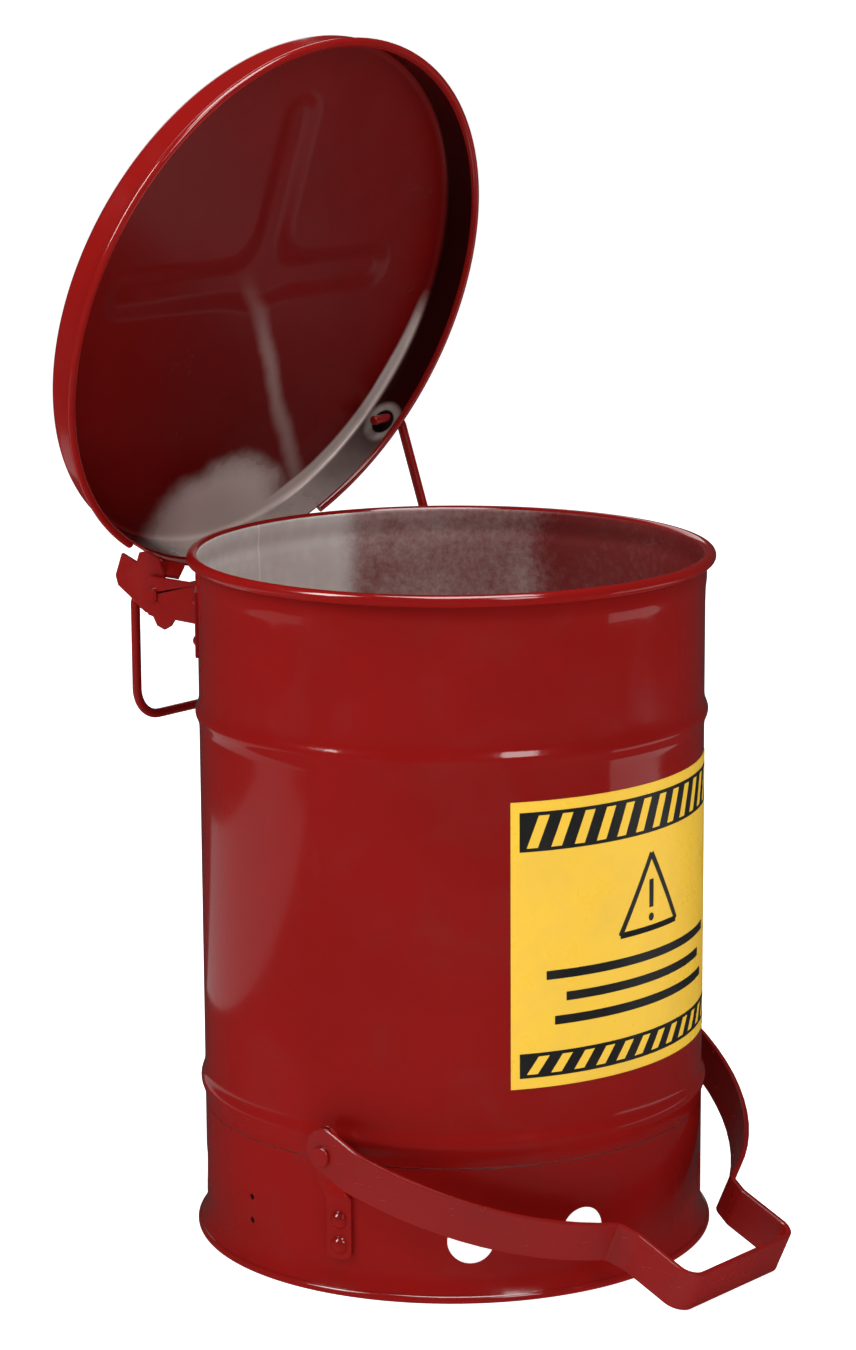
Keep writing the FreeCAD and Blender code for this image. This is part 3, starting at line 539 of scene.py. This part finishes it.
def build_skirt():
    outer = [(WALL, 76.4)] + [(WALL, z) for z in range(72, 17, -6)]
    flare = []
    for index in range(9):
        t = index / 8
        ease = t * t * (1.4 - 0.4 * t)
        flare.append((WALL + 3.8 * ease, 17.0 - 12.8 * t))
    hem = [(r, max(z, 0.0)) for r, z in arc(147.9, 2.2, 2.4, 62, -180, 22)]
    inside = [(146.6, 4.5), (144.6, 10.0), (143.8, 16.0)] + [(143.8, z) for z in range(24, 73, 8)]
    profile = outer + flare + hem + inside + [(143.8, 76.4)]
    verts, faces = lathe(profile, 288)
    slots = []
    first_inner = len(outer) + len(flare) + len(hem)
    for column in range(288):
        slots += [1 if row >= first_inner else 0 for row in range(len(profile))]
    skirt = add_piece("base_ring", verts, faces, [ENAMEL, ENAMEL_SMALL], "can", slots=slots)
    cutters = [cutter_tube(radial(b, WALL, 34.8), radial(b, 1, 0), 13.0, 24, 64) for b in VENTS]
    cutters += [cutter_tube(radial(-101.7, WALL, z), radial(-101.7, 1, 0), 2.0, 24, 24)
                for z in (28.0, 41.8)]
    cut_with(skirt, cutters)
    steady_normals(skirt.data)
    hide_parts("base_skirt")


def steady_normals(mesh):
    """Give the drilled wall the true normals of a cylinder, so holes do not disturb its shine."""
    for polygon in mesh.polygons:
        polygon.use_smooth = True
    mesh.set_sharp_from_angle(angle=math.radians(38))
    normals = [tuple(n.vector) for n in mesh.corner_normals]
    for polygon in mesh.polygons:
        centre = polygon.center
        outward = Vector((centre.x, centre.y, 0)).normalized()
        if abs(polygon.normal.dot(outward)) < 0.995:
            continue
        sign = 1 if polygon.normal.dot(outward) > 0 else -1
        for loop in polygon.loop_indices:
            point = mesh.vertices[mesh.loops[loop].vertex_index].co
            if point.z < 0.0175:
                continue
            normals[loop] = tuple(Vector((point.x, point.y, 0)).normalized() * sign)
    mesh.normals_split_custom_set(normals)


# ------------------------------------------------------------------ lid
def rib_height(x, y):
    """Height of the pressed T-shaped rib at a point of the shut lid."""
    def bar(ax, ay, bx, by, half):
        dx, dy = bx - ax, by - ay
        t = max(0.0, min(1.0, ((x - ax) * dx + (y - ay) * dy) / (dx * dx + dy * dy)))
        return math.hypot(x - ax - t * dx, y - ay - t * dy) - half

    front = bar(2, -12, 2, -110, 11.5)
    side = bar(-112, -8, 98, -9, 11.5)
    k = 24.0
    mix = max(k - abs(front - side), 0.0) / k
    distance = min(front, side) - mix * mix * k * 0.25
    t = max(0.0, min(1.0, (distance + 7.0) / 12.5))
    return 2.4 * (1 - t * t * (3 - 2 * t))


def build_lid():
    steps = 288
    top, lip = 401.4, 379.4
    outer = [(161.9 - 0.9 * i / 6, lip + (396.4 - lip) * i / 6) for i in range(6)]
    outer += arc(156.0, 396.4, 5.0, 0, 90, 10)
    inner = arc(156.0, 396.4, 4.0, 90, 0, 8) + [(160.0 + 0.9 * i / 6, 396.4 - (396.4 - lip) * i / 6)
                                               for i in range(1, 7)]
    rings = [154.0 - 2.0 * i for i in range(76)]
    disc_out = [(r, top) for r in rings]
    disc_in = [(r, top - SHEET) for r in reversed(rings)]
    profile = outer + disc_out + disc_in + inner
    split = len(outer) + len(disc_out)
    verts, faces, slots = [], [], []
    count = len(profile)
    for column in range(steps):
        angle = TAU * column / steps
        for row, (r, z) in enumerate(profile):
            x, y = r * math.sin(angle), -r * math.cos(angle)
            lift = rib_height(x, y) if len(outer) <= row < split + len(disc_in) else 0.0
            verts.append((x, y, z + lift))
    for column in range(steps):
        this, after = column * count, ((column + 1) % steps) * count
        for row in range(count):
            if row == split - 1:
                continue
            up = (row + 1) % count
            faces.append((this + row, after + row, after + up, this + up))
            slots.append(1 if row >= split - 1 and row < count - 1 else 0)
    for row, slot in ((split - 1, 0), (split, 1)):
        loop = tuple(column * count + row for column in range(steps))
        faces.append(loop)
        slots.append(slot)
    lid = add_piece("lid_pan", verts, faces, [ENAMEL, LID_INSIDE], "lid", LID_OPEN, slots=slots)
    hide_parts("lid_cover")
    section = arc(163.9, lip, 2.4, 0, 345, 23)
    verts, faces = lathe(section, 240, math.radians(-150), math.radians(300))
    hem = add_piece("lid_hem", verts, faces, ENAMEL, "lid", LID_OPEN)


# ------------------------------------------------------------------ label
LABEL_HALF = 93.5
LABEL_LOW, LABEL_HIGH = 121.0, 283.0


def on_wall(along, z, lift):
    return radial(math.degrees(along / WALL), WALL + lift, z)


def build_label():
    columns, verts, faces = 64, [], []
    for column in range(columns + 1):
        along = -LABEL_HALF + 2 * LABEL_HALF * column / columns
        for z, lift in ((LABEL_LOW, 0.0), (LABEL_LOW, 0.28), (LABEL_HIGH, 0.28), (LABEL_HIGH, 0.0)):
            verts.append(on_wall(along, z, lift))
    for column in range(columns):
        a, b = column * 4, column * 4 + 4
        faces += [(a, b, b + 1, a + 1), (a + 1, b + 1, b + 2, a + 2), (a + 2, b + 2, b + 3, a + 3)]
    faces += [(0, 1, 2, 3), (columns * 4 + 3, columns * 4 + 2, columns * 4 + 1, columns * 4)]
    label = add_piece("label_film", verts, faces, YELLOW, "can")
    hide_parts("label_panel")


class Print:
    """Flat outlines of generic print: 'a' in mm from the label's left edge, z above the floor."""

    def __init__(self):
        self.shapes = []

    def poly(self, *corners):
        self.shapes.append([(a - LABEL_HALF, z) for a, z in corners])

    def rect(self, a0, a1, z0, z1):
        self.poly((a0, z0), (a1, z0), (a1, z1), (a0, z1))

    def disc(self, a, z, r, sides=28):
        self.poly(*[(a + r * math.cos(TAU * i / sides), z + r * math.sin(TAU * i / sides))
                    for i in range(sides)])

    def bar(self, a0, z0, a1, z1, line=0.7):
        da, dz = a1 - a0, z1 - z0
        length = math.hypot(da, dz)
        na, nz = -dz / length * line / 2, da / length * line / 2
        self.poly((a0 + na, z0 + nz), (a0 - na, z0 - nz), (a1 - na, z1 - nz), (a1 + na, z1 + nz))

    def path(self, points, line=0.7):
        for (a0, z0), (a1, z1) in zip(points, points[1:]):
            self.bar(a0, z0, a1, z1, line)

    def make(self, name, material, lift):
        tool = bmesh.new()
        for outline in self.shapes:
            tool.faces.new([tool.verts.new((x, 0.0, z)) for x, z in outline])
        for index in range(1, int(2 * LABEL_HALF / 3.0)):
            bmesh.ops.bisect_plane(tool, geom=tool.verts[:] + tool.edges[:] + tool.faces[:],
                                   plane_co=(-LABEL_HALF + index * 3.0, 0, 0), plane_no=(1, 0, 0))
        for vert in tool.verts:
            vert.co = on_wall(vert.co.x, vert.co.z, lift) * MM
        tool.normal_update()
        for face in tool.faces:
            centre = face.calc_center_median()
            if face.normal.x * centre.x + face.normal.y * centre.y < 0:
                face.normal_flip()
        mesh = bpy.data.meshes.new(name)
        tool.to_mesh(mesh)
        tool.free()
        for polygon in mesh.polygons:
            polygon.use_smooth = True
        mesh.materials.append(material)
        piece = bpy.data.objects.new(name, mesh)
        bpy.context.collection.objects.link(piece)
        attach(piece, "can")


def hazard_band(ground, strips, low, high):
    """Solid band with even slanted strips from end to end."""
    first, last, count, lean = 5.0, 2 * LABEL_HALF - 5.0, 12, 7.0
    ground.rect(first, last, low, high)
    pitch = (last - first - lean) / count
    for index in range(count):
        a = first + pitch * (index + 0.28)
        strips.poly((a, low + 2), (a + pitch * 0.45, low + 2),
                    (a + pitch * 0.45 + lean, high - 2), (a + lean, high - 2))


def build_print():
    """Generic safety print: two hazard bands, a warning sign and centred rules. No lettering."""
    black, yellow = Print(), Print()
    hazard_band(black, yellow, 255.0, 277.0)
    hazard_band(black, yellow, 127.0, 141.0)
    middle = LABEL_HALF
    black.path([(middle - 25, 200), (middle + 25, 200), (middle, 243), (middle - 25, 200),
                (middle + 25, 200)], 3.4)
    black.rect(middle - 1.9, middle + 1.9, 212, 228)
    black.disc(middle, 206.4, 2.3, 20)
    for row, length in enumerate((146, 122, 136)):
        black.rect(middle - length / 2, middle + length / 2, 182 - 13 * row, 187 - 13 * row)
    black.make("label_print", INK, 0.36)
    yellow.make("label_print_light", YELLOW, 0.44)


# ------------------------------------------------------------------ pedal strap
def build_strap():
    front, half_width, half_thick = 38.0, 12.7, 1.5
    # from the side to the toe: half width, reach ahead of the pivot, bend radius
    arm = [(STRAP_SIDE, 22.0, 30.0), (127.2, 103.6, 165.0), (52.0, 131.0, 5.0), (48.0, 143.0, 8.0),
           (48.0, 183.3, 10.0)]
    middle = PIVOT.z + 3.5
    points = [Vector((-STRAP_SIDE, -front + half_width, middle))]
    points += [Vector((-x, -front - ahead, middle)) for x, ahead, bend in arm]
    points += [Vector((x, -front - ahead, middle)) for x, ahead, bend in reversed(arm)]
    points.append(Vector((STRAP_SIDE, ROD_AT_PEDAL.y + half_width, middle)))
    bends = [bend for x, ahead, bend in arm]
    path = densify(bent_path(points, bends + bends[::-1], 12), 3.0)
    lengths = [0.0]
    for a, b in zip(path, path[1:]):
        lengths.append(lengths[-1] + (b - a).length)
    total = lengths[-1]
    fine = []
    for extra in (0.02, 0.3, 0.8, 1.6, 2.8, 4.4, 6.4, 8.8, 11.0):
        fine += [extra, total - extra]
    marks = sorted(set(lengths[1:-1]) | set(fine))
    marks = [m for m in marks if m in fine or 11.5 < m < total - 11.5]

    def at(mark):
        for index in range(1, len(lengths)):
            if lengths[index] >= mark:
                span = lengths[index] - lengths[index - 1]
                return path[index - 1].lerp(path[index], (mark - lengths[index - 1]) / span)
        return path[-1]

    rows = [at(m) for m in marks]
    verts, faces = [], []
    bevel = 0.7
    for index, (mark, point) in enumerate(zip(marks, rows)):
        before, after = rows[max(index - 1, 0)], rows[min(index + 1, len(rows) - 1)]
        along = (after - before).normalized()
        side = Vector((-along.y, along.x, 0))
        room = min(mark, total - mark, half_width)
        tall = math.sqrt(max(half_width ** 2 - (half_width - room) ** 2, 0.01))
        edge = min(bevel, tall * 0.5)
        section = [(-half_thick, -tall + edge), (-half_thick * 0.75, -tall + edge * 0.25),
                   (-half_thick * 0.3, -tall), (half_thick * 0.3, -tall),
                   (half_thick * 0.75, -tall + edge * 0.25), (half_thick, -tall + edge),
                   (half_thick, tall - edge), (half_thick * 0.75, tall - edge * 0.25),
                   (half_thick * 0.3, tall), (-half_thick * 0.3, tall),
                   (-half_thick * 0.75, tall - edge * 0.25), (-half_thick, tall - edge)]
        verts += [point + side * s + Vector((0, 0, u)) for s, u in section]
    count = 12
    for row in range(len(rows) - 1):
        for k in range(count):
            n = (k + 1) % count
            faces.append((row * count + k, row * count + n, (row + 1) * count + n, (row + 1) * count + k))
    faces.append(tuple(reversed(range(count))))
    faces.append(tuple((len(rows) - 1) * count + k for k in range(count)))
    strap = add_piece("pedal_band", verts, faces, SCUFFED, "pedal", PEDAL_DOWN)
    rest = ROD_AT_PEDAL + Vector((STRAP_SIDE, 0, 0))
    tail, head = rest + Vector((0, 1.6, 1.2)), rest + Vector((0, -10.7, 9.6))
    cutters = []
    for t in (0.0, 0.2, 0.4, 0.6, 0.8, 1.0):
        centre = PEDAL_DOWN @ tail.lerp(head, t)
        cutters.append(cutter_tube(centre, (1, 0, 0), 5.2, 14, 48))
    cut_with(strap, cutters)
    for polygon in strap.data.polygons:
        polygon.use_smooth = True
    strap.data.set_sharp_from_angle(angle=math.radians(30))
    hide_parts("pedal_strap")


# ------------------------------------------------------------------ wires
def build_wires():
    back, pivot, half, tip = 190.0, 357.0, 64.4, 55.0
    grip = pivot - 73.0
    corners = [Vector(p) for p in ((-tip, back, pivot), (-half, back, pivot), (-half, back, grip),
                                   (half, back, grip), (half, back, pivot), (tip, back, pivot))]
    path = densify(bent_path(corners, [4.2, 18.0, 18.0, 4.2], 12), 6.0)
    handle = round_sweep("handle_wire", path, 2.75, 28, ENAMEL_SMALL, "handle")
    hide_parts("carry_handle")
    top = LID_OPEN @ ROD_AT_LID
    foot = PEDAL_DOWN @ ROD_AT_PEDAL
    corners = [Vector((121.5, top.y, top.z)), Vector((145.6, top.y, top.z)),
               Vector((162.6, foot.y, foot.z)), Vector((148.5, foot.y, foot.z))]
    path = densify(bent_path(corners, [7.0, 5.6], 12), 8.0)
    rod = round_sweep("lift_wire", path, 2.9, 28, ENAMEL_SMALL, "rod")
    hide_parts("lift_rod")


# ------------------------------------------------------------------ CAD nodes that keep their shape
def dress_nodes():
    finishes = {"bottom_pan": INTERIOR, "pivot_nut_near": ZINC, "pivot_nut_far": ZINC}
    replaced = {"body_shell", "base_skirt", "label_panel", "lid_cover", "pedal_strap",
                "carry_handle", "lift_rod"}
    for name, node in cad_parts.items():
        if name in replaced or node.type != "MESH":
            continue
        finish = finishes.get(name, ENAMEL_SMALL)
        for slot in node.material_slots:
            slot.material = finish
        if name.startswith(("hinge_cheek", "handle_lug", "lid_ear", "pedal_bracket", "hinge_saddle",
                            "lid_hinge_band")):
            weld = node.modifiers.new("weld", "WELD")
            weld.merge_threshold = 0.00002
            bevel = node.modifiers.new("soft_edge", "BEVEL")
            bevel.width = 0.0004
            bevel.segments = 2
            bevel.limit_method = "ANGLE"
            bevel.angle_limit = math.radians(50)
            bevel.harden_normals = True


# ------------------------------------------------------------------ camera, floor and lights
def build_camera():
    data = bpy.data.cameras.new("photo_camera")
    data.sensor_fit = "VERTICAL"
    data.sensor_height = 36.0
    data.lens = 106.44
    data.clip_end = 100.0
    camera = bpy.data.objects.new("photo_camera", data)
    bpy.context.collection.objects.link(camera)
    turn, yaw = math.radians(49.57), math.radians(-0.344)
    pitch, roll = math.radians(11.765), math.radians(-0.329)
    across = Vector((math.cos(turn), -math.sin(turn), 0))
    ahead = Vector((math.sin(turn), math.cos(turn), 0))
    level = across * math.sin(yaw) + ahead * math.cos(yaw)
    look = level * math.cos(pitch) - Vector((0, 0, math.sin(pitch)))
    right = across * math.cos(yaw) - ahead * math.sin(yaw)
    up = right.cross(look)
    right, up = (right * math.cos(roll) + up * math.sin(roll),
                 up * math.cos(roll) - right * math.sin(roll))
    matrix = Matrix((right, up, -look)).transposed().to_4x4()
    matrix.translation = Vector((-1.7047, -1.4523, 0.7909))
    camera.matrix_world = matrix
    bpy.context.scene.camera = camera


def softbox(name, bearing, distance, height, wide, tall, power, aim=AIM_BODY):
    """Area light at a bearing from the front (towards +X), aimed at a point."""
    data = bpy.data.lights.new(name, "AREA")
    data.shape = "RECTANGLE"
    data.size, data.size_y = wide, tall
    data.energy = power
    light = bpy.data.objects.new(name, data)
    turn = math.radians(bearing)
    place = Vector((distance * math.sin(turn), -distance * math.cos(turn), height))
    light.location = place
    light.rotation_euler = (Vector(aim) - place).to_track_quat("-Z", "Y").to_euler()
    light.visible_camera = False
    bpy.context.collection.objects.link(light)


def build_stage():
    mesh = bpy.data.meshes.new("floor")
    mesh.from_pydata([(-30, -30, 0), (30, -30, 0), (30, 30, 0), (-30, 30, 0)], [], [(0, 1, 2, 3)])
    mesh.materials.append(make_floor("pale_floor"))
    floor = bpy.data.objects.new("floor", mesh)
    bpy.context.collection.objects.link(floor)
    floor.visible_glossy = False
    world = bpy.data.worlds.new("studio")
    world.use_nodes = True
    tree = world.node_tree
    tree.nodes.clear()
    out = tree.nodes.new("ShaderNodeOutputWorld")
    background = tree.nodes.new("ShaderNodeBackground")
    background.inputs[0].default_value = (1, 1, 1, 1)
    path = tree.nodes.new("ShaderNodeLightPath")
    level = tree.nodes.new("ShaderNodeMapRange")
    level.inputs[3].default_value = 0.16
    level.inputs[4].default_value = 1.15
    tree.links.new(path.outputs["Is Camera Ray"], level.inputs[0])
    glossy = tree.nodes.new("ShaderNodeMath")
    glossy.operation = "MULTIPLY_ADD"
    glossy.inputs[1].default_value = -0.13
    tree.links.new(path.outputs["Is Glossy Ray"], glossy.inputs[0])
    tree.links.new(level.outputs[0], glossy.inputs[2])
    tree.links.new(glossy.outputs[0], background.inputs[1])
    tree.links.new(background.outputs[0], out.inputs[0])
    bpy.context.scene.world = world
    softbox("key_left", -111, 2.3, 2.1, 0.80, 1.5, 46)
    softbox("overhead", -30, 0.35, 1.9, 1.0, 1.0, 26, (0, 0.05, 0.2))
    softbox("key_right", -19, 2.5, 2.0, 0.80, 1.4, 20)
    softbox("left_card", -146, 0.85, 0.03, 1.1, 0.52, 0.44, (-0.4753, 0.7047, 1.0))
    softbox("right_card", 40, 0.95, 0.03, 0.7, 0.6, 0.7, (0.61, -0.728, 1.0))
    softbox("back_box", 150, 2.4, 1.6, 1.6, 1.2, 8, (0, 0, 0.4))


build_camera()
build_shell()
build_skirt()
build_label()
build_print()
build_lid()
build_strap()
build_wires()
dress_nodes()
build_stage()
bpy.context.scene.view_settings.view_transform = "Standard"
